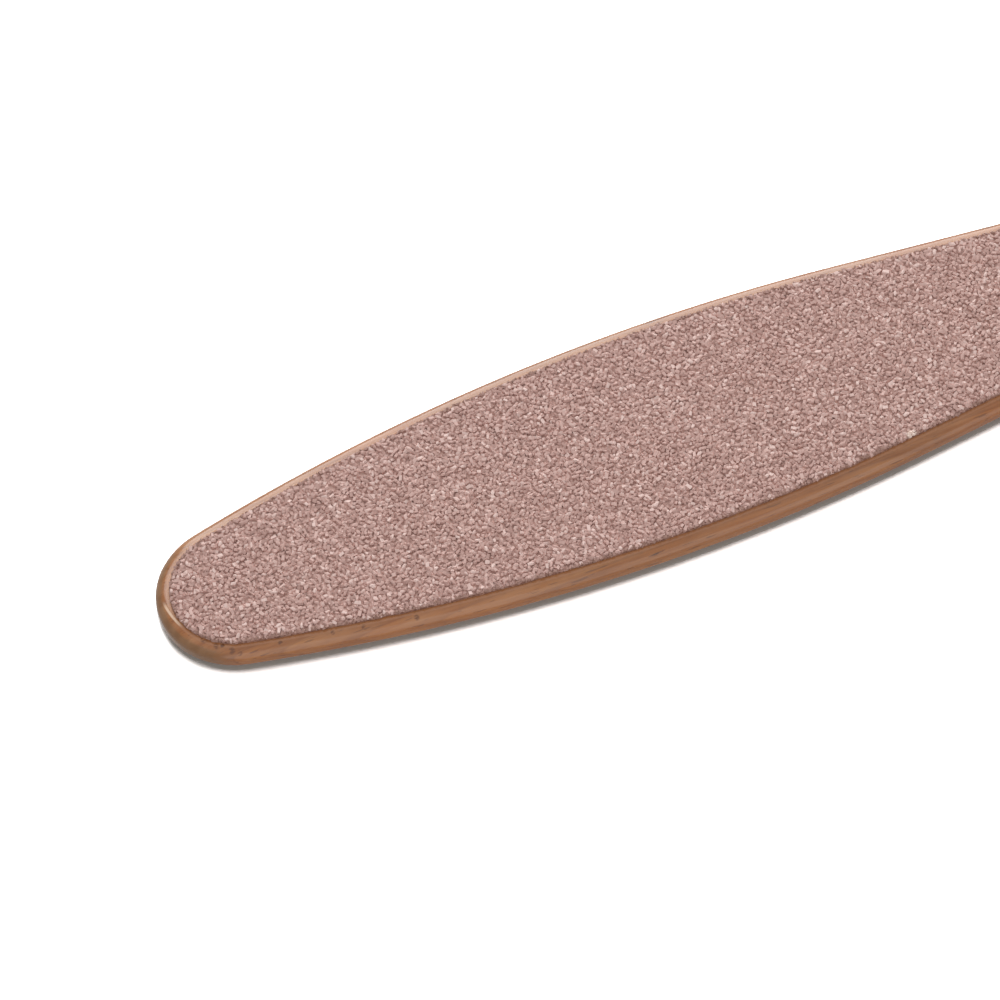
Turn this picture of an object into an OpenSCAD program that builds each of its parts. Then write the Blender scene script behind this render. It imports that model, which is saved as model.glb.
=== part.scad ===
// Double-sided wooden foot file: a stained wooden paddle with an abrasive sheet glued on each face.
// Millimetres, +Z up. The file lies on its fine side with its rounded tip towards -X and its handle
// towards +X. The origin is in the middle of its length and width, on the surface that it lies on.

/* [Head] */
// Width of the head at its widest
head_w = 42; // [40:0.5:44]
// Radius of the rounded nose
nose_r = 12; // [11:0.1:13]
// Angle that the nose's arc covers on each side of the axis
nose_angle = 45; // [38:1:52]
// Radius of the shoulders behind the nose
shoulder_r = 13.6; // [13:0.1:15]
// Radius of the long sides, up to the widest place
side_r = 348; // [330:1:370]
// Radius of the sides behind the widest place
belly_r = 345; // [320:1:370]

/* [Handle] */
// Length of the whole file
file_length = 270; // [258:1:290]
// Width of the handle at its waist
waist_w = 23; // [21:0.5:25]
// Distance from the tip to the waist
waist_x = 202; // [196:1:209]
// Radius of the hollow curve that leads into the handle
neck_r = 120; // [90:1:150]
// Angle by which each side of the handle opens towards its end
flare_angle = 2; // [1:0.5:3]
// Diameter of the hanging hole
hole_d = 6; // [4:0.5:8]
// Distance from the handle's end to the middle of the hanging hole
hole_inset = 13; // [11:0.5:16]
// Width of the chamfer round each mouth of the hanging hole
hole_chamfer = 0.6; // [0.3:0.1:1]

/* [Wood] */
// Thickness of the wooden blank
wood_t = 4; // [3.6:0.1:8]
// Height of the straight wall that is left between the blank's two rounded rims
rim_flat = 1; // [0.3:0.1:3]

/* [Abrasive sheets] */
// Bare wood left between the blank's edge and a sheet's edge
margin = 2.3; // [1.5:0.1:4]
// Distance from the blank's tip to the far end of the sheets
sheet_end = 178; // [168:1:182]
// Thickness of the glue under a sheet
glue_t = 0.1; // [0.1:0.05:0.3]
// Distance by which the glue stays inside a sheet's edge
glue_inset = 0.3; // [0.1:0.1:1]
// Thickness of a sheet's paper backing
backing_t = 0.35; // [0.2:0.05:0.6]
// Thickness of the resin that holds the grains
resin_t = 0.15; // [0.1:0.05:0.3]
// Distance by which the resin stays inside a sheet's edge
resin_inset = 0.1; // [0.05:0.05:0.3]
// Height that the coarse grains stand out of their resin
coarse_grit_t = 0.6; // [0.4:0.05:0.9]
// Height that the fine grains stand out of their resin
fine_grit_t = 0.3; // [0.2:0.05:0.5]
// Distance by which the grains stay inside a sheet's edge
grit_inset = 0.25; // [0.1:0.05:0.6]

/* [Hidden] */

// Furthest that a straight stretch of an outline may stray from the arc it stands for
chord_gap = 0.02;
// Steps that turn the rim through its quarter circle
rim_steps = 6;
// Facets of the hanging hole on screen
hole_facets = 64;
// How far a cut runs past what it cuts
overrun = 1;

// Heights of the layers' undersides, from the surface up
fine_grit_z = 0;
fine_resin_z = fine_grit_z + fine_grit_t;
fine_backing_z = fine_resin_z + resin_t;
fine_glue_z = fine_backing_z + backing_t;
wood_z = fine_glue_z + glue_t;
coarse_glue_z = wood_z + wood_t;
coarse_backing_z = coarse_glue_z + glue_t;
coarse_resin_z = coarse_backing_z + backing_t;
coarse_grit_z = coarse_resin_z + resin_t;

// Both rims are rounded as far as the straight wall and the glue leave room for it
rim_r = min((wood_t - rim_flat) / 2, margin + glue_inset);

// The outline is a chain of arcs, each tangent to the next, with x counted from the blank's tip.
// Angles along it are those of its outward normal: 0 out of the nose, 90 sideways, 180 out of the handle.
half_w = head_w / 2;
nose_c = [nose_r, 0];
shoulder_c = nose_c - (shoulder_r - nose_r) * normal(nose_angle);
side_angle = asin((side_r + shoulder_c.y - half_w) / (side_r - shoulder_r));
side_c = shoulder_c - (side_r - shoulder_r) * normal(side_angle);
belly_c = [side_c.x, half_w - belly_r];
neck_c = [waist_x, waist_w / 2 + neck_r];

// The straight taper touches the belly's arc and the neck's arc, on opposite sides of itself
belly_to_neck = neck_c - belly_c;
taper_angle = atan2(belly_to_neck.x, belly_to_neck.y) - acos((belly_r + neck_r) / norm(belly_to_neck));
taper_reach = belly_c * normal(90 + taper_angle) + belly_r;

// The handle ends in the circle that touches both flared sides
flare_reach = neck_c * normal(90 - flare_angle) - neck_r;
tail_c = [(file_length - flare_reach) / (1 + sin(flare_angle)), 0];
tail_r = file_length - tail_c.x;

// A sheet ends in the circle that touches both of its tapered sides
sheet_tail_c = [(sheet_end + margin - taper_reach) / (1 - sin(taper_angle)), 0];
sheet_tail_r = sheet_end - sheet_tail_c.x;

// Unit vector at an angle from the direction out of the nose
function normal(angle) = [-cos(angle), sin(angle)];

// Steps that an arc needs to stay within chord_gap, each of which turns twice the angle in acos
function arc_steps(r, turn) = ceil(abs(turn / 2) / acos(1 - chord_gap / abs(r)));

// Points of an arc moved in by inset. A hollow arc has a negative radius.
function arc(c, r, from, to, inset) =
    let (steps = arc_steps(r, to - from))
    [for (i = [0 : steps]) c + (r - inset) * normal(from + (to - from) * i / steps)];

function all_but_last(points) = [for (i = [0 : len(points) - 2]) points[i]];

// The arcs of one side of the head, from the tip to where the straight taper begins
function head_side(inset) = concat(
    all_but_last(arc(nose_c, nose_r, 0, nose_angle, inset)),
    all_but_last(arc(shoulder_c, shoulder_r, nose_angle, side_angle, inset)),
    all_but_last(arc(side_c, side_r, side_angle, 90, inset)),
    arc(belly_c, belly_r, 90, 90 + taper_angle, inset)
);

// A closed outline from its far side, whose first and last points lie on the axis
function both_sides(side) = concat(side, [for (i = [len(side) - 2 : -1 : 1]) [side[i].x, -side[i].y]]);

function blank_outline(inset) = both_sides(concat(
    head_side(inset),
    arc(neck_c, -neck_r, 90 + taper_angle, 90 - flare_angle, inset),
    arc(tail_c, tail_r, 90 - flare_angle, 180, inset)
));

function sheet_outline(inset) = both_sides(concat(
    head_side(margin + inset),
    arc(sheet_tail_c, sheet_tail_r, 90 + taper_angle, 180, inset)
));

// Moves what is drawn from the tip so that the file's middle is at the origin
module from_tip() {
    translate([-file_length / 2, 0, 0]) children();
}

// One flat layer of an abrasive sheet
module layer(z, thickness, inset) {
    from_tip() translate([0, 0, z]) linear_extrude(thickness) polygon(sheet_outline(inset));
}

// The blank before it is drilled: its outline at each height, drawn in where the rim is rounded
module rounded_blank() {
    rim_turns = [for (i = [0 : rim_steps]) 90 * i / rim_steps];
    levels = concat(
        [for (turn = rim_turns) [rim_r * (1 - sin(turn)), rim_r * (1 - cos(turn))]],
        [for (turn = rim_turns) [rim_r * (1 - cos(turn)), wood_t - rim_r * (1 - sin(turn))]]
    );
    rings = [for (level = levels) [for (p = blank_outline(level[0])) [p.x, p.y, level[1]]]];
    sides = len(rings[0]);
    walls = [
        for (ring = [0 : len(rings) - 2], i = [0 : sides - 1])
        let (low = ring * sides, high = low + sides, next = (i + 1) % sides)
        [low + next, high + next, high + i, low + i]
    ];
    underside = [for (i = [sides - 1 : -1 : 0]) i];
    top = [for (i = [0 : sides - 1]) (len(rings) - 1) * sides + i];
    polyhedron([for (ring = rings) each ring], concat(walls, [underside, top]));
}

// The drill and the countersink at each of its mouths
module hanging_hole() {
    mouth_h = hole_chamfer + overrun;
    mouth_r = hole_d / 2 + mouth_h;
    translate([file_length - hole_inset, 0, 0]) {
        translate([0, 0, -overrun]) cylinder(h = wood_t + 2 * overrun, d = hole_d, $fn = hole_facets);
        translate([0, 0, -overrun]) cylinder(h = mouth_h, r1 = mouth_r, r2 = hole_d / 2, $fn = hole_facets);
        translate([0, 0, wood_t - hole_chamfer])
            cylinder(h = mouth_h, r1 = hole_d / 2, r2 = mouth_r, $fn = hole_facets);
    }
}

// The stained wooden paddle that carries both sheets and is the handle
module wooden_blank() {
    color([0.62, 0.45, 0.35]) from_tip() translate([0, 0, wood_z]) difference() {
        rounded_blank();
        hanging_hole();
    }
}

// Contact glue under the coarse sheet
module coarse_glue_film() {
    color([0.75, 0.66, 0.5]) layer(coarse_glue_z, glue_t, glue_inset);
}

// Brown backing paper of the coarse sheet
module coarse_backing_sheet() {
    color([0.5, 0.36, 0.3]) layer(coarse_backing_z, backing_t, 0);
}

// Resin that the coarse grains are set in
module coarse_resin_coat() {
    color([0.46, 0.33, 0.3]) layer(coarse_resin_z, resin_t, resin_inset);
}

// Coarse pinkish brown grains, the upper face in use
module coarse_grit_layer() {
    color([0.7, 0.57, 0.53]) layer(coarse_grit_z, coarse_grit_t, grit_inset);
}

// Contact glue over the fine sheet
module fine_glue_film() {
    color([0.75, 0.66, 0.5]) layer(fine_glue_z, glue_t, glue_inset);
}

// Brown backing paper of the fine sheet
module fine_backing_sheet() {
    color([0.5, 0.36, 0.3]) layer(fine_backing_z, backing_t, 0);
}

// Resin that the fine grains are set in
module fine_resin_coat() {
    color([0.46, 0.33, 0.3]) layer(fine_resin_z, resin_t, resin_inset);
}

// Fine grains of the underside, which the file lies on
module fine_grit_layer() {
    color([0.66, 0.53, 0.49]) layer(fine_grit_z, fine_grit_t, grit_inset);
}

wooden_blank();
coarse_glue_film();
coarse_backing_sheet();
coarse_resin_coat();
coarse_grit_layer();
fine_glue_film();
fine_backing_sheet();
fine_resin_coat();
fine_grit_layer();
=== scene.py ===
import math
import random

import bmesh
import bpy
from mathutils import Euler, Matrix, Vector, noise
from mathutils.bvhtree import BVHTree


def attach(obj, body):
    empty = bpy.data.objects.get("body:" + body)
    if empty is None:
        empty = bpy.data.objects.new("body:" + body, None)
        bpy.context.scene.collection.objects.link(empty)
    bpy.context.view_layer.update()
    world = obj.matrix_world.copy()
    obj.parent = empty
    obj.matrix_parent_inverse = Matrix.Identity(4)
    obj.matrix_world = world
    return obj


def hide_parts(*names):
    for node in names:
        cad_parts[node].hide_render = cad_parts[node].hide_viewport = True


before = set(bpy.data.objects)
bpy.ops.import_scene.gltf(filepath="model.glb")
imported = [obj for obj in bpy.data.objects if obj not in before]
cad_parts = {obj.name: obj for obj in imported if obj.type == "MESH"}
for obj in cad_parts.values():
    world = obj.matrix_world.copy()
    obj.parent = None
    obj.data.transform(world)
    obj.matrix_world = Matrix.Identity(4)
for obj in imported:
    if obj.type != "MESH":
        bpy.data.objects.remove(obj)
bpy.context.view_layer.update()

# The camera stands beside the head and looks down on it from 60 degrees above the table. The head
# lies in the middle of its view, and the handle runs out of it on the right.
mm = 0.001
scene = bpy.context.scene
camera_aim = Vector((-76.55, 0.59, 0.9)) * mm
camera_distance = 620 * mm
camera_rise = math.radians(60)
camera_swing = math.radians(22.91)


def seen(right, away, up):
    """Turns a direction as the camera's side sees it into the file's own frame."""
    return Vector((
        right * math.cos(camera_swing) + away * math.sin(camera_swing),
        away * math.cos(camera_swing) - right * math.sin(camera_swing),
        up,
    ))


camera_data = bpy.data.cameras.new("camera")
camera_data.sensor_width = 36
camera_data.lens = 138.3
camera_data.clip_start = 0.05
camera_data.clip_end = 20
camera = bpy.data.objects.new("camera", camera_data)
back_to_camera = seen(0, -math.cos(camera_rise), math.sin(camera_rise))
camera.location = camera_aim + camera_distance * back_to_camera
camera.rotation_mode = "QUATERNION"
camera_turn = Matrix((
    seen(1, 0, 0),
    seen(0, math.sin(camera_rise), math.cos(camera_rise)),
    back_to_camera,
)).transposed()
camera.rotation_quaternion = camera_turn.to_quaternion()
scene.collection.objects.link(camera)
scene.camera = camera

# The wooden blank: one flat paddle, sawn and sanded out of straight-grained hardwood 4 mm thick.
# Its rims are rounded over, a hanging hole is drilled through the handle, and the whole of it is
# stained brown and lacquered. The lacquer is glossy on the rims and rubbed down on the flat faces.
blank_length = 270 * mm
blank_low = 0.9 * mm
blank_high = 4.9 * mm
half_head = 21 * mm
nose_radius = 12 * mm
nose_turn = math.radians(45)
shoulder_radius = 13.6 * mm
side_radius = 348 * mm
belly_radius = 345 * mm
waist_from_tip = 202 * mm
half_waist = 11.5 * mm
neck_radius = 120 * mm
flare = math.radians(2)
rim_breadth = 2.3 * mm
rim_height = 1.5 * mm
hole_radius = 3 * mm
hole_from_end = 13 * mm
hole_countersink = 0.6 * mm


def outward(angle):
    """Unit vector at an angle from the direction out of the nose: a quarter turn points sideways."""
    return Vector((-math.cos(angle), math.sin(angle), 0))


# Centres of the arcs that the outline is a chain of, each tangent to the next, counted from the tip
nose_centre = Vector((nose_radius, 0, 0))
shoulder_centre = nose_centre - (shoulder_radius - nose_radius) * outward(nose_turn)
side_turn = math.asin((side_radius + shoulder_centre.y - half_head) / (side_radius - shoulder_radius))
side_centre = shoulder_centre - (side_radius - shoulder_radius) * outward(side_turn)
belly_centre = Vector((side_centre.x, half_head - belly_radius, 0))
neck_centre = Vector((waist_from_tip, half_waist + neck_radius, 0))
belly_to_neck = neck_centre - belly_centre
taper = math.atan2(belly_to_neck.x, belly_to_neck.y) - math.acos(
    (belly_radius + neck_radius) / belly_to_neck.length
)
quarter = math.pi / 2
flare_reach = neck_centre.dot(outward(quarter - flare)) - neck_radius
tail_centre = Vector(((blank_length - flare_reach) / (1 + math.sin(flare)), 0, 0))
tail_radius = blank_length - tail_centre.x


def sweep(bm, corner, centre, start, end, stride):
    """Draws the arc that leads on from a corner, in short steps, and returns its last corner."""
    reach = (corner.co.xy - centre.xy).length
    steps = max(3, math.ceil(reach * abs(end - start) / stride))
    drawn = bmesh.ops.spin(
        bm, geom=[corner], cent=centre, axis=(0, 0, 1), angle=start - end, steps=steps,
        use_duplicate=False,
    )
    return next(part for part in drawn["geom_last"] if isinstance(part, bmesh.types.BMVert))


def straight_to(bm, corner, place):
    """Draws the straight that leads on from a corner and returns its end."""
    end = bmesh.ops.extrude_vert_indiv(bm, verts=[corner])["verts"][0]
    end.co = place
    return end


def draw_head(bm, inset, stride):
    """Draws one side of the head from the tip to its straight taper, drawn in by inset."""
    corner = bm.verts.new((inset, 0, 0))
    corner = sweep(bm, corner, nose_centre, 0, nose_turn, stride)
    corner = sweep(bm, corner, shoulder_centre, nose_turn, side_turn, stride)
    corner = sweep(bm, corner, side_centre, side_turn, quarter, stride * 2)
    return sweep(bm, corner, belly_centre, quarter, quarter + taper, stride * 2)


touching = 0.001 * mm  # corners closer together than this are one


def mirror_side(bm):
    """Adds the near side to the far one and moves the outline from the tip to the file's middle."""
    bmesh.ops.mirror(bm, geom=bm.verts[:] + bm.edges[:], axis="Y", merge_dist=touching)
    bmesh.ops.translate(bm, vec=(-blank_length / 2, 0, 0), verts=bm.verts)


def raise_plate(bm, low, high):
    """Gives a flat face its thickness, between two heights."""
    bmesh.ops.translate(bm, vec=(0, 0, low), verts=bm.verts)
    risen = bmesh.ops.extrude_face_region(bm, geom=bm.faces[:])["geom"]
    top = [part for part in risen if isinstance(part, bmesh.types.BMVert)]
    bmesh.ops.translate(bm, vec=(0, 0, high - low), verts=top)
    bmesh.ops.recalc_face_normals(bm, faces=bm.faces)


def add_piece(name, bm, slot, *nodes):
    """Makes a finished piece that rides on the file and stands for its CAD nodes."""
    mesh = bpy.data.meshes.new(name)
    bm.to_mesh(mesh)
    bm.free()
    piece = bpy.data.objects.new(name, mesh)
    scene.collection.objects.link(piece)
    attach(piece, "root")
    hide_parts(*nodes)
    return piece


def flats(bm):
    """The blank's two flat faces, the only ones with more than a hundred corners."""
    return [face for face in bm.faces if len(face.verts) > 100]


blank = bmesh.new()
corner = draw_head(blank, 0, 0.8 * mm)
corner = straight_to(blank, corner, neck_centre - neck_radius * outward(quarter + taper))
corner = sweep(blank, corner, neck_centre, quarter + taper, quarter - flare, 1.2 * mm)
corner = straight_to(blank, corner, tail_centre + tail_radius * outward(quarter - flare))
sweep(blank, corner, tail_centre, quarter - flare, math.pi, 0.7 * mm)
mirror_side(blank)
bmesh.ops.contextual_create(blank, geom=blank.edges[:])
# The rims are rounded on a thicker blank, which is then flattened: they fall off gently from the
# sheet's edge and then steeply
flattening = rim_height / rim_breadth
raise_plate(blank, 0, (blank_high - blank_low) / flattening)
bmesh.ops.bevel(
    blank, geom=[edge for face in flats(blank) for edge in face.edges], offset=rim_breadth,
    offset_type="OFFSET", segments=8, profile=0.5, affect="EDGES", material=-1, clamp_overlap=False,
)
bmesh.ops.scale(blank, vec=(1, 1, flattening), verts=blank.verts)
bmesh.ops.translate(blank, vec=(0, 0, blank_low), verts=blank.verts)
# A narrow flat band beside each rim and each mouth of the hole keeps the shading of the flats even
flat_band = 0.3 * mm
bmesh.ops.inset_region(blank, faces=flats(blank), thickness=flat_band, use_even_offset=True)
hole_axis = Vector((blank_length / 2 - hole_from_end, 0, 0))
mouth_radius = hole_radius + hole_countersink
corner = blank.verts.new(hole_axis + Vector((mouth_radius + flat_band, 0, blank_low)))
drilled = [corner]
for radius, height in (
    (mouth_radius, blank_low), (hole_radius, blank_low + hole_countersink),
    (hole_radius, blank_high - hole_countersink), (mouth_radius, blank_high),
    (mouth_radius + flat_band, blank_high),
):
    corner = straight_to(blank, corner, hole_axis + Vector((radius, 0, height)))
    drilled += [corner, corner.link_edges[0]]
bmesh.ops.spin(
    blank, geom=drilled, cent=hole_axis, axis=(0, 0, 1), angle=2 * math.pi, steps=56, use_merge=True,
    use_duplicate=False,
)
bmesh.ops.delete(blank, geom=flats(blank), context="FACES_ONLY")
for height in (blank_high, blank_low):
    bmesh.ops.triangle_fill(blank, use_beauty=True, edges=[
        edge for edge in blank.edges
        if edge.is_boundary and all(abs(end.co.z - height) < touching for end in edge.verts)
    ])
bmesh.ops.remove_doubles(blank, verts=blank.verts, dist=touching)
bmesh.ops.recalc_face_normals(blank, faces=blank.faces)
for face in blank.faces:
    face.smooth = True
wooden_blank = add_piece("stained_wooden_blank", blank, "stained_wood", "wooden_blank")
settle = wooden_blank.modifiers.new("flat faces stay flat", "WEIGHTED_NORMAL")
settle.keep_sharp = True
settle.weight = 100


class Value:
    """A socket that can be used in an expression, which adds the Math nodes it needs."""

    def __init__(self, finish, socket):
        self.finish, self.socket = finish, socket

    def combine(self, operation, *terms):
        return self.finish.node("Math", {"operation": operation}, dict(enumerate(terms)))

    def __add__(self, other): return self.combine("ADD", self, other)
    def __sub__(self, other): return self.combine("SUBTRACT", self, other)
    def __rsub__(self, other): return self.combine("SUBTRACT", other, self)
    def __mul__(self, other): return self.combine("MULTIPLY", self, other)
    def __truediv__(self, other): return self.combine("DIVIDE", self, other)
    def __pow__(self, other): return self.combine("POWER", self, other)
    def __abs__(self): return self.combine("ABSOLUTE", self)
    __radd__, __rmul__ = __add__, __mul__


class Finish:
    """A material, or the room's light, in the making."""

    def __init__(self, owner):
        owner.use_nodes = True
        self.owner, self.tree = owner, owner.node_tree
        self.tree.nodes.clear()

    def node(self, kind, settings=None, sockets=None, output=0):
        """Adds a node, sets it, then fills its sockets with values or links."""
        made = self.tree.nodes.new("ShaderNode" + kind)
        for setting, value in (settings or {}).items():
            if setting == "stops":
                ramp = made.color_ramp
                while len(ramp.elements) < len(value):
                    ramp.elements.new(1)
                for stop, (position, colour) in zip(ramp.elements, value):
                    stop.position, stop.color = position, colour
            else:
                setattr(made, setting, value)
        for socket, value in (sockets or {}).items():
            if isinstance(value, Value):
                self.tree.links.new(value.socket, made.inputs[socket])
            else:
                made.inputs[socket].default_value = value
        return Value(self, made.outputs[output]) if made.outputs else None

    def place(self, stretch=(1, 1, 1)):
        """Object coordinates, which a stretch below 1 draws out along that axis."""
        where = self.node("TexCoord", output="Object")
        return self.node("Mapping", sockets={"Vector": where, "Scale": stretch})

    def noise(self, where, size, detail=2.0, rough=0.5, wander=0.0):
        """Noise from 0 to 1 whose blotches are about this many metres across."""
        return self.node("TexNoise", sockets={
            "Vector": where, "Scale": 0.5 / size, "Detail": detail, "Roughness": rough,
            "Distortion": wander,
        })

    def between(self, value, low, high):
        """0 below low and 1 above high, with a soft step from one to the other."""
        return self.node("MapRange", {"interpolation_type": "SMOOTHSTEP"}, {
            "Value": value, "From Min": low, "From Max": high,
        })

    def blend(self, share, first, second):
        """Mixes two colours by a share."""
        return self.node("Mix", {"data_type": "RGBA"}, {0: share, 6: first, 7: second}, output=2)

    def ramp(self, value, *stops):
        return self.node("ValToRGB", {"stops": stops}, {"Fac": value})

    def away_from(self, x, y):
        """Distance from a place on the file, seen from above."""
        spread = self.place(stretch=(1, 1, 0))
        return self.node("VectorMath", {"operation": "DISTANCE"}, {0: spread, 1: (x, y, 0)}, "Value")

    def spot(self, x, y, reach):
        """1 in a round spot, and 0 from its reach on."""
        return 1 - self.between(self.away_from(x, y), reach * 0.4, reach)

    def ray(self, kind):
        """1 for rays of one kind, and 0 for all others."""
        return self.node("LightPath", output=f"Is {kind} Ray")

    def surface(self, **sockets):
        """Ends the material in a Principled shader. A name's underscores stand for spaces."""
        shader = self.node("BsdfPrincipled", sockets={
            name.replace("_", " "): value for name, value in sockets.items()
        })
        self.node("OutputMaterial", sockets={"Surface": shader})
        return self.owner


def srgb(red, green, blue):
    """A colour given as 0 to 255 on screen, made linear."""
    return tuple(
        c / 12.92 if c <= 0.04045 else ((c + 0.055) / 1.055) ** 2.4
        for c in (red / 255, green / 255, blue / 255)
    ) + (1,)


wood = Finish(bpy.data.materials.new("stained_wood"))
bands = wood.noise(wood.place(stretch=(0.035, 1, 1)), 1.6 * mm, detail=3, wander=0.6)
fibres = wood.noise(wood.place(stretch=(0.03, 1, 1)), 0.22 * mm, detail=3, rough=0.6)
pores = wood.between(wood.noise(wood.place(stretch=(0.09, 1, 1)), 0.16 * mm, detail=1), 0.66, 0.74)
streaks = wood.between(wood.noise(wood.place(stretch=(0.12, 1, 1)), 0.34 * mm, detail=2), 0.66, 0.72)
clouds = wood.noise(wood.place(stretch=(0.4, 1, 1)), 9 * mm, detail=2)
stain = wood.ramp(
    bands * 0.6 + fibres * 0.4,
    (0.28, srgb(134, 79, 37)), (0.45, srgb(163, 101, 50)),
    (0.6, srgb(179, 116, 59)), (0.75, srgb(195, 133, 76)),
)
stain = wood.blend(wood.between(clouds, 0.35, 0.7) * 0.35, stain, srgb(166, 94, 50))
# The heart of the log lay beside the board and below it, so each year's ring crosses it as a long line
heart = wood.node("VectorMath", {"operation": "DISTANCE"}, {
    0: wood.place(stretch=(0, 1, 1)), 1: (0, 60 * mm, -30 * mm),
}, "Value")
year = (heart + wood.noise(wood.place(stretch=(0.07, 1, 1)), 8 * mm, detail=2) * 5 * mm) / (1.7 * mm)
year = year.combine("FRACT", year)
stain = wood.blend(year ** 4 * (1 - wood.between(year, 0.93, 1)) * 0.45, stain, srgb(116, 66, 34))
stain = wood.blend(streaks * 0.5 + pores * 0.5, stain, srgb(84, 48, 26))
# The rims of the nose and of the handle's end cut across the fibres, and the stain soaks in deeper
# The same darkening is painted shade on the side walls of the nose
position = wood.node("TexCoord", output="Object")
along = wood.node("SeparateXYZ", sockets={"Vector": position}, output="X")
above_table = wood.node("SeparateXYZ", sockets={"Vector": position}, output="Z")
facing = wood.node("TexCoord", output="Normal")
upright = abs(wood.node("SeparateXYZ", sockets={"Vector": facing}, output="Z"))
near_end = wood.between(abs(along), blank_length / 2 - 9 * mm, blank_length / 2 - 4 * mm)
end_grain_and_shade = near_end * (1 - wood.between(upright, 0.86, 0.98))
stain = wood.blend(end_grain_and_shade * 0.9, stain, srgb(130, 90, 52))
# The stain is paler, in patches, towards the top of the rims
paler_towards_top = wood.between(above_table, blank_high - 1.3 * mm, blank_high - 0.35 * mm)
patches = wood.noise(wood.place(stretch=(0.15, 1, 1)), 1.2 * mm, detail=3)
stain = wood.blend(paler_towards_top * wood.between(patches, 0.35, 0.65) * 0.2, stain, srgb(200, 158, 122))
# The head's flat margin beside the sheet is painted paler, as painted sheen, but not the handle's
handle_start = 43 * mm
# This painted sheen also lifts the shade that the sheet casts on the margin
on_flat_top = wood.between(above_table, blank_high - 0.08 * mm, blank_high - 0.02 * mm)
painted_margin_sheen = on_flat_top * (1 - wood.between(along, handle_start - 5 * mm, handle_start + 1 * mm))
stain = wood.blend(painted_margin_sheen * 0.6, stain, srgb(200, 142, 102))
# Small dark marks beside the sheet
ragged = wood.between(wood.noise(wood.place(stretch=(0.4, 1, 1)), 0.2 * mm, detail=3), 0.38, 0.56)
for x, y, reach in (
    (-130.1, -6.8, 0.7), (-128.7, -8.6, 0.6), (-127.8, -8.8, 0.5), (-126.7, -10.2, 0.7),
    (-125.7, -11.0, 0.5), (-119.2, -11.9, 0.5), (-111.0, -13.4, 0.5), (-106.1, -14.4, 0.6),
    (-97.8, -16.0, 0.6),
):
    stain = wood.blend(wood.spot(x * mm, y * mm, reach * mm) * ragged * 0.75, stain, srgb(96, 54, 28))
# A thin pale line on the nose's rim: a short piece of a thin ring
pale_line_bend = 13.5 * mm
off_pale_line = abs(wood.away_from(-120.1 * mm, 2.2 * mm) - pale_line_bend)
pale_line = 1 - wood.between(off_pale_line, 0.1 * mm, 0.27 * mm)
pale_line = pale_line * wood.spot(-133.3 * mm, -0.7 * mm, 3.2 * mm)
stain = wood.blend(pale_line * 0.9, stain, srgb(240, 207, 178))
grain_relief = wood.node("Bump", sockets={
    "Strength": 0.35, "Distance": 0.05 * mm, "Height": fibres * 0.5 - pores,
})
rubbed = wood.between(upright, 0.998, 0.9998)  # the flat faces, not the rims
wooden_blank.data.materials.append(wood.surface(
    Base_Color=stain, Roughness=0.42 + fibres * 0.16, Normal=grain_relief,
    Specular_IOR_Level=0.03, Coat_Weight=1 - rubbed * 0.95, Coat_IOR=1.56, Coat_Roughness=0.16,
))

# The coarse sheet: latex paper with the die-cut outline of the head, 2.3 mm inside the wood's edge.
# Its paper is brown, and the glue under it is a thin yellowish film. Where it was cut, the edge
# shows as a dark line, slightly fuzzy.
sheet_margin = 2.3 * mm
sheet_from_tip = handle_start + blank_length / 2
taper_reach = belly_centre.dot(outward(quarter + taper)) + belly_radius
sheet_tail_centre = Vector(((sheet_from_tip + sheet_margin - taper_reach) / (1 - math.sin(taper)), 0, 0))
sheet_tail_radius = sheet_from_tip - sheet_tail_centre.x
glue_thickness = 0.1 * mm
glue_inset = 0.3 * mm
paper_thickness = 0.35 * mm
cut_fuzz = 0.03 * mm
noise.seed_set(1)  # or else noise_vector would wander in another way in each run


def draw_sheet(inset, stride):
    """A flat face with the sheets' outline, drawn in by inset."""
    bm = bmesh.new()
    corner = draw_head(bm, sheet_margin + inset, stride)
    start = sheet_tail_centre + (sheet_tail_radius - inset) * outward(quarter + taper)
    corner = straight_to(bm, corner, start)
    sweep(bm, corner, sheet_tail_centre, quarter + taper, math.pi, stride)
    mirror_side(bm)
    bmesh.ops.contextual_create(bm, geom=bm.edges[:])
    return bm


def add_layer(name, low, high, inset, slot, node, material, fuzz=0.0):
    """One thin layer of a sheet. Its cut edge is fuzzy and wanders a little from the die's line."""
    bm = draw_sheet(inset, 0.6 * mm)
    raise_plate(bm, low, high)
    cut = random.Random(name)
    for corner in bm.verts:
        drift = noise.noise_vector(corner.co.xy.to_3d() / (2.2 * mm)) * 4 * fuzz
        corner.co += Vector((drift.x + cut.gauss(0, fuzz), drift.y + cut.gauss(0, fuzz), 0))
    layer = add_piece(name, bm, slot, node)
    layer.data.materials.append(material)


glue = Finish(bpy.data.materials.new("contact_glue"))
dried = glue.noise(glue.place(), 1.5 * mm, detail=3)
glue_finish = glue.surface(
    Base_Color=glue.ramp(dried, (0.3, srgb(196, 172, 128)), (0.7, srgb(222, 203, 164))),
    Roughness=0.35 + dried * 0.2,
)
coarse_paper_low = blank_high + glue_thickness
add_layer(
    "coarse_glue", blank_high, coarse_paper_low, glue_inset, "contact_glue", "coarse_glue_film",
    glue_finish,
)

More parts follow.
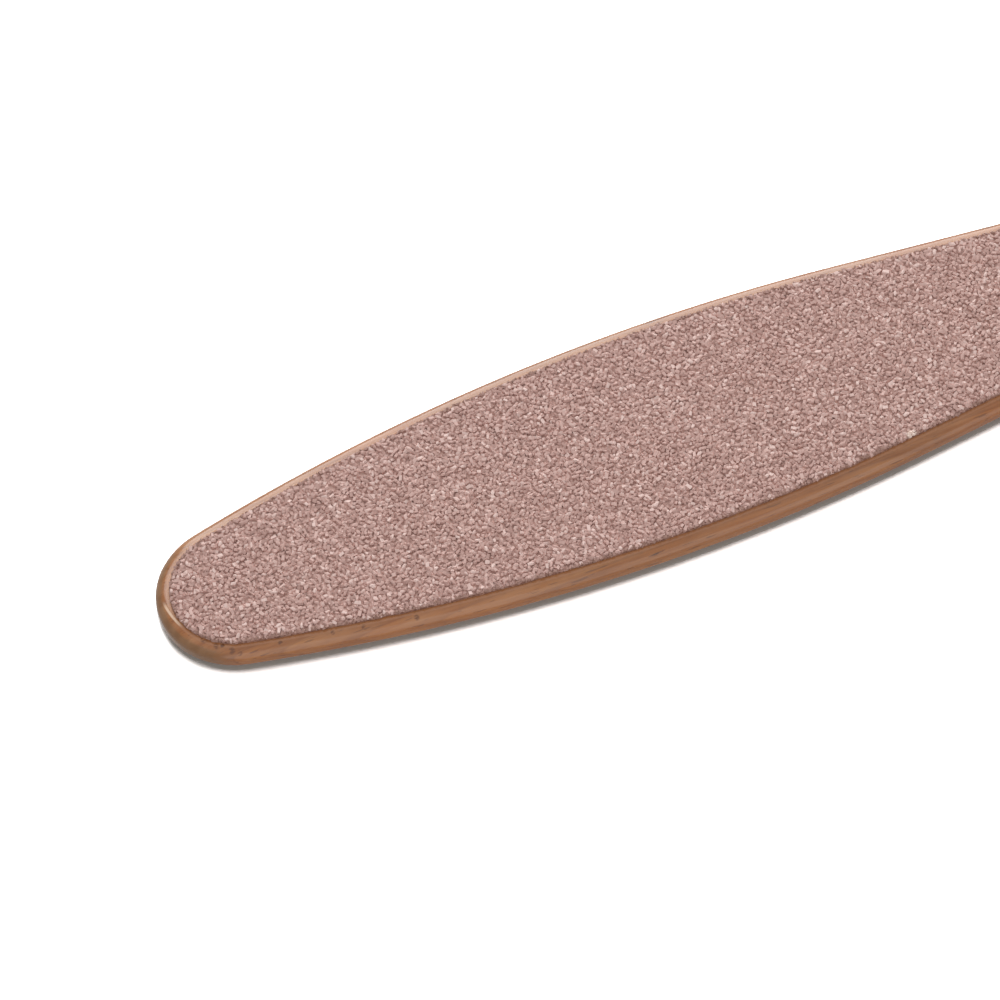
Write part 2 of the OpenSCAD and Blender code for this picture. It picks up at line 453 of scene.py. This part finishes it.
paper = Finish(bpy.data.materials.new("brown_backing_paper"))
pulp = paper.noise(paper.place(), 0.25 * mm, detail=3, rough=0.6)
paper_brown = paper.ramp(
    pulp, (0.3, srgb(112, 76, 62)), (0.5, srgb(146, 104, 88)), (0.7, srgb(176, 134, 114)),
)
paper_finish = paper.surface(
    Base_Color=paper_brown,
    Roughness=0.75 + pulp * 0.15,
    Normal=paper.node("Bump", sockets={"Strength": 0.4, "Distance": 0.04 * mm, "Height": pulp}),
)
coarse_resin_low = coarse_paper_low + paper_thickness
add_layer(
    "coarse_backing_paper", coarse_paper_low, coarse_resin_low, 0, "backing_paper",
    "coarse_backing_sheet", paper_finish, fuzz=cut_fuzz,
)

# The coat of resin that the coarse grains are set in: poured on wet and cured, it creeps up a
# little between the grains and shows as brown pits.
resin_thickness = 0.15 * mm
resin_inset = 0.1 * mm
resin = Finish(bpy.data.materials.new("brown_resin"))
pooled = resin.noise(resin.place(), 0.4 * mm, detail=3)
resin_finish = resin.surface(
    Base_Color=resin.ramp(pooled, (0.3, srgb(166, 128, 118)), (0.7, srgb(206, 168, 156))),
    Roughness=0.4 + pooled * 0.2,
    Normal=resin.node("Bump", sockets={"Strength": 0.6, "Distance": 0.1 * mm, "Height": pooled}),
)
add_layer(
    "coarse_resin", coarse_resin_low, coarse_resin_low + resin_thickness, resin_inset, "resin",
    "coarse_resin_coat", resin_finish, fuzz=cut_fuzz,
)

# The coarse grains: crushed pinkish brown aluminium oxide, sieved to one size and dropped on the
# wet resin, so that each chip lies as it fell and all of them stand about as high. Small chips fill
# the gaps between the large ones.
def crush(lot, count, many_sided):
    """A few angular chips, each the hull round a ball's or a block's corners, knocked about."""
    chips = []
    for number in range(count):
        bm = bmesh.new()
        if many_sided and number % 2:
            bmesh.ops.create_icosphere(bm, subdivisions=1, radius=0.5)
        else:
            bmesh.ops.create_cube(bm, size=0.75)
        bmesh.ops.delete(bm, geom=bm.edges[:], context="EDGES_FACES")
        for corner in bm.verts:
            corner.co *= lot.uniform(0.65, 1.2)
        hull = bmesh.ops.convex_hull(bm, input=bm.verts)
        bmesh.ops.delete(bm, geom=list(set(hull["geom_interior"] + hull["geom_unused"])), context="VERTS")
        bmesh.ops.recalc_face_normals(bm, faces=bm.faces)
        # Seen from above, the chip fits into the unit square of its map
        plan = bm.loops.layers.uv.new("OFBake")
        for face in bm.faces:
            for loop in face.loops:
                loop[plan].uv = loop.vert.co.xy * 0.55 + Vector((0.5, 0.5))
        mesh = bpy.data.meshes.new("chip")
        bm.to_mesh(mesh)
        bm.free()
        chips.append(mesh)
    return chips


def strew(
    name, seed, node, material, spacing, breadth, length, tallest, lowest, inset, many_sided=False,
    along_edge=False,
):
    """Strews chips over a sheet, so that their tops stand between two heights."""
    lot = random.Random(seed)
    chips = crush(lot, 12, many_sided)
    cut = draw_sheet(inset, 1.5 * mm)
    stamp = BVHTree.FromBMesh(cut)
    spots = []
    jitter = 0.22
    row_step = spacing * math.sin(math.radians(60))
    rows = math.ceil(half_head / row_step)
    for row in range(-rows, rows + 1):
        for column in range(math.ceil(sheet_from_tip / spacing)):
            spot = Vector((
                -blank_length / 2 + spacing * (column + 0.5 * (row % 2) + lot.gauss(0, jitter)),
                row_step * (row + lot.gauss(0, jitter)), 0,
            ))
            if stamp.ray_cast(spot + Vector((0, 0, 1)), Vector((0, 0, -1)))[0] is not None:
                spots.append(spot)
    # The cut edge goes through the crowd of chips, so some lie all along it, painted dark as shade
    within = len(spots)
    painted_edge_shade = -0.07
    for edge in cut.edges if along_edge else ():
        steps = math.ceil(edge.calc_length() / (0.8 * spacing))
        start, end = (corner.co for corner in edge.verts)
        spots += [start.lerp(end, (step + lot.random()) / steps) for step in range(steps)]
    cut.free()
    heap = bmesh.new()
    shades, faces = [], []
    tilt = 0.25
    upward = 1 if tallest > lowest else -1
    for number, spot in enumerate(spots):
        chip = lot.choice(chips)
        wide = breadth * lot.uniform(0.8, 1.2)
        turn = Euler((lot.gauss(0, tilt), lot.gauss(0, tilt), lot.uniform(0, 2 * math.pi))).to_matrix()
        turn = turn @ Matrix.Diagonal((length * lot.uniform(0.75, 1.25), wide, wide))
        turn = turn @ Euler((lot.uniform(0, 2 * math.pi), 0, 0)).to_matrix()
        reach = max(upward * (turn @ corner.co).z for corner in chip.vertices)
        top = tallest + (lowest - tallest) * lot.random()
        put = Matrix.Translation((spot.x, spot.y, top - upward * reach)) @ turn.to_4x4()
        chip.transform(put)
        heap.from_mesh(chip, face_normals=False, vertex_normals=False)
        chip.transform(put.inverted())
        shade = lot.random()
        shades.append(shade if number < within else painted_edge_shade)
        faces.append(len(chip.polygons))
    piece = add_piece(name, heap, node.replace("grit_layer", "grains"), node)
    tones = piece.data.attributes.new("shade", "FLOAT", "FACE")
    tones.data.foreach_set("value", [shade for shade, many in zip(shades, faces) for _ in range(many)])
    # Every chip has its own cell of the map that its colour is baked through
    side = math.ceil(math.sqrt(len(shades)))
    cells = [divmod(number, side) for number, many in enumerate(faces) for _ in range(3 * many)]
    plan = piece.data.uv_layers["OFBake"].uv
    drawn = [0.0] * (2 * len(plan))
    plan.foreach_get("vector", drawn)
    starts = [start for cell in cells for start in cell]
    plan.foreach_set("vector", [(start + part) / side for start, part in zip(starts, drawn)])
    piece.data.materials.append(material)
    for chip in chips:
        bpy.data.meshes.remove(chip)


def crushed_oxide(name, *stops):
    """Brown fused aluminium oxide: each chip has a shade, painted darker along a cut edge, and a spot on
    the near edge is paler.
    """
    oxide = Finish(bpy.data.materials.new(name))
    shade = oxide.node("Attribute", {"attribute_name": "shade"}, output="Fac")
    cloudy = oxide.noise(oxide.place(), 0.3 * mm)
    tint = oxide.ramp(shade * 0.8 + cloudy * 0.2, *stops)
    # A pale spot at one place on the sheet's near edge
    pale_spot = oxide.spot(-11.6 * mm, -16.5 * mm, 1.1 * mm)
    return oxide.surface(
        Base_Color=oxide.blend(pale_spot * 0.8, tint, srgb(255, 236, 224)),
        Roughness=0.45 + cloudy * 0.25, Specular_IOR_Level=0.3,
    )


# The first stop is the painted shade of the chips along the cut edge
coarse_finish = crushed_oxide(
    "coarse_pinkish_grains", (0, srgb(150, 114, 100)), (0.1, srgb(192, 156, 147)),
    (0.4, srgb(205, 169, 160)), (0.7, srgb(216, 181, 172)), (0.95, srgb(240, 213, 205)),
)
strew(
    "coarse_grains", 11, "coarse_grit_layer", coarse_finish, spacing=0.84 * mm, breadth=0.74 * mm,
    length=1.15 * mm, tallest=6.08 * mm, lowest=5.88 * mm, inset=0.36 * mm, many_sided=True,
)
strew(
    "coarse_filler_grains", 12, "coarse_grit_layer", coarse_finish, spacing=0.74 * mm,
    breadth=0.62 * mm, length=0.84 * mm, tallest=5.92 * mm, lowest=5.76 * mm, inset=0.25 * mm,
    along_edge=True,
)

# The fine sheet on the underside is made in the same way as the coarse one, the other way up. Its
# grains are about half as big, and the file lies on them.
fine_paper_high = blank_low - glue_thickness
fine_resin_high = fine_paper_high - paper_thickness
add_layer(
    "fine_glue", fine_paper_high, blank_low, glue_inset, "contact_glue", "fine_glue_film", glue_finish,
)
add_layer(
    "fine_backing_paper", fine_resin_high, fine_paper_high, 0, "backing_paper",
    "fine_backing_sheet", paper_finish, fuzz=cut_fuzz,
)
add_layer(
    "fine_resin", fine_resin_high - resin_thickness, fine_resin_high, resin_inset, "resin",
    "fine_resin_coat", resin_finish, fuzz=cut_fuzz,
)
# The first stop is the painted shade of the chips along the cut edge
fine_finish = crushed_oxide(
    "fine_pinkish_grains", (0, srgb(140, 104, 90)), (0.1, srgb(172, 136, 126)),
    (0.4, srgb(194, 159, 148)), (0.7, srgb(210, 178, 166)), (0.95, srgb(230, 204, 192)),
)
strew(
    "fine_grains", 23, "fine_grit_layer", fine_finish, spacing=0.62 * mm, breadth=0.46 * mm,
    length=0.7 * mm, tallest=0.005 * mm, lowest=0.09 * mm, inset=0.35 * mm,
)
strew(
    "fine_filler_grains", 24, "fine_grit_layer", fine_finish, spacing=0.66 * mm, breadth=0.46 * mm,
    length=0.58 * mm, tallest=0.08 * mm, lowest=0.18 * mm, inset=0.25 * mm, along_edge=True,
)

# The table is a plain white sheet that fades into a white room. What the camera sees of it directly is
# lifted to white, all but the dark shadow right under the file's overhanging rim.
table_mesh = bmesh.new()
bmesh.ops.create_grid(table_mesh, x_segments=1, y_segments=1, size=4)
table_data = bpy.data.meshes.new("table")
table_mesh.to_mesh(table_data)
table_mesh.free()
table = bpy.data.objects.new("table", table_data)
scene.collection.objects.link(table)
card = Finish(bpy.data.materials.new("white_card"))
mirrored = card.ray("Glossy") + card.ray("Transmission")
plain = card.blend(mirrored, srgb(205, 205, 205), srgb(250, 250, 250))
open_sky = card.node("AmbientOcclusion", {"samples": 16}, {"Distance": 5 * mm}, "AO")
over_white = (3, 3, 3, 1)
lifted = card.blend(card.between(open_sky, 0.5, 0.6), srgb(194, 191, 186), over_white)
card_face = card.node("BsdfDiffuse", sockets={"Color": card.blend(card.ray("Camera"), plain, lifted)})
card.node("OutputMaterial", sockets={"Surface": card_face})
table_data.materials.append(card.owner)

# The lamps stand round the file and shine on the middle of the camera's view, and the white room adds
# an even light of its own.
lamp_distance = 1.4


def add_lamp(name, toward, breadth, share):
    """An area lamp that lights a face turned to it by a share of full white."""
    lamp_data = bpy.data.lights.new(name, "AREA")
    lamp_data.shape = "DISK"
    lamp_data.size = breadth
    lamp_data.energy = share * (math.pi * lamp_distance) ** 2
    lamp = bpy.data.objects.new(name, lamp_data)
    direction = seen(*toward).normalized()
    lamp.location = camera_aim + lamp_distance * direction
    lamp.rotation_mode = "QUATERNION"
    lamp.rotation_quaternion = direction.to_track_quat("Z", "Y")
    scene.collection.objects.link(lamp)


add_lamp("back", (-0.1, 0.9, 0.42), breadth=1.15, share=0.7)
add_lamp("left", (-0.35, 0.55, 0.76), breadth=0.6, share=0.15)
add_lamp("top", (0, -0.2, 0.98), breadth=1.6, share=0.1)
add_lamp("front", (0.35, -0.85, 0.38), breadth=2.0, share=0.46)
even_light = 0.35
scene.world = bpy.data.worlds.new("white_room")
room = Finish(scene.world)
mirrored = room.ray("Glossy") + room.ray("Transmission")
room_light = room.node("Background", sockets={
    "Color": (1, 1, 1, 1),
    "Strength": room.ray("Camera") * (1 - even_light) + mirrored * 0.35 + even_light,
})
room.node("OutputWorld", sockets={"Surface": room_light})

scene.view_settings.view_transform = "Standard"
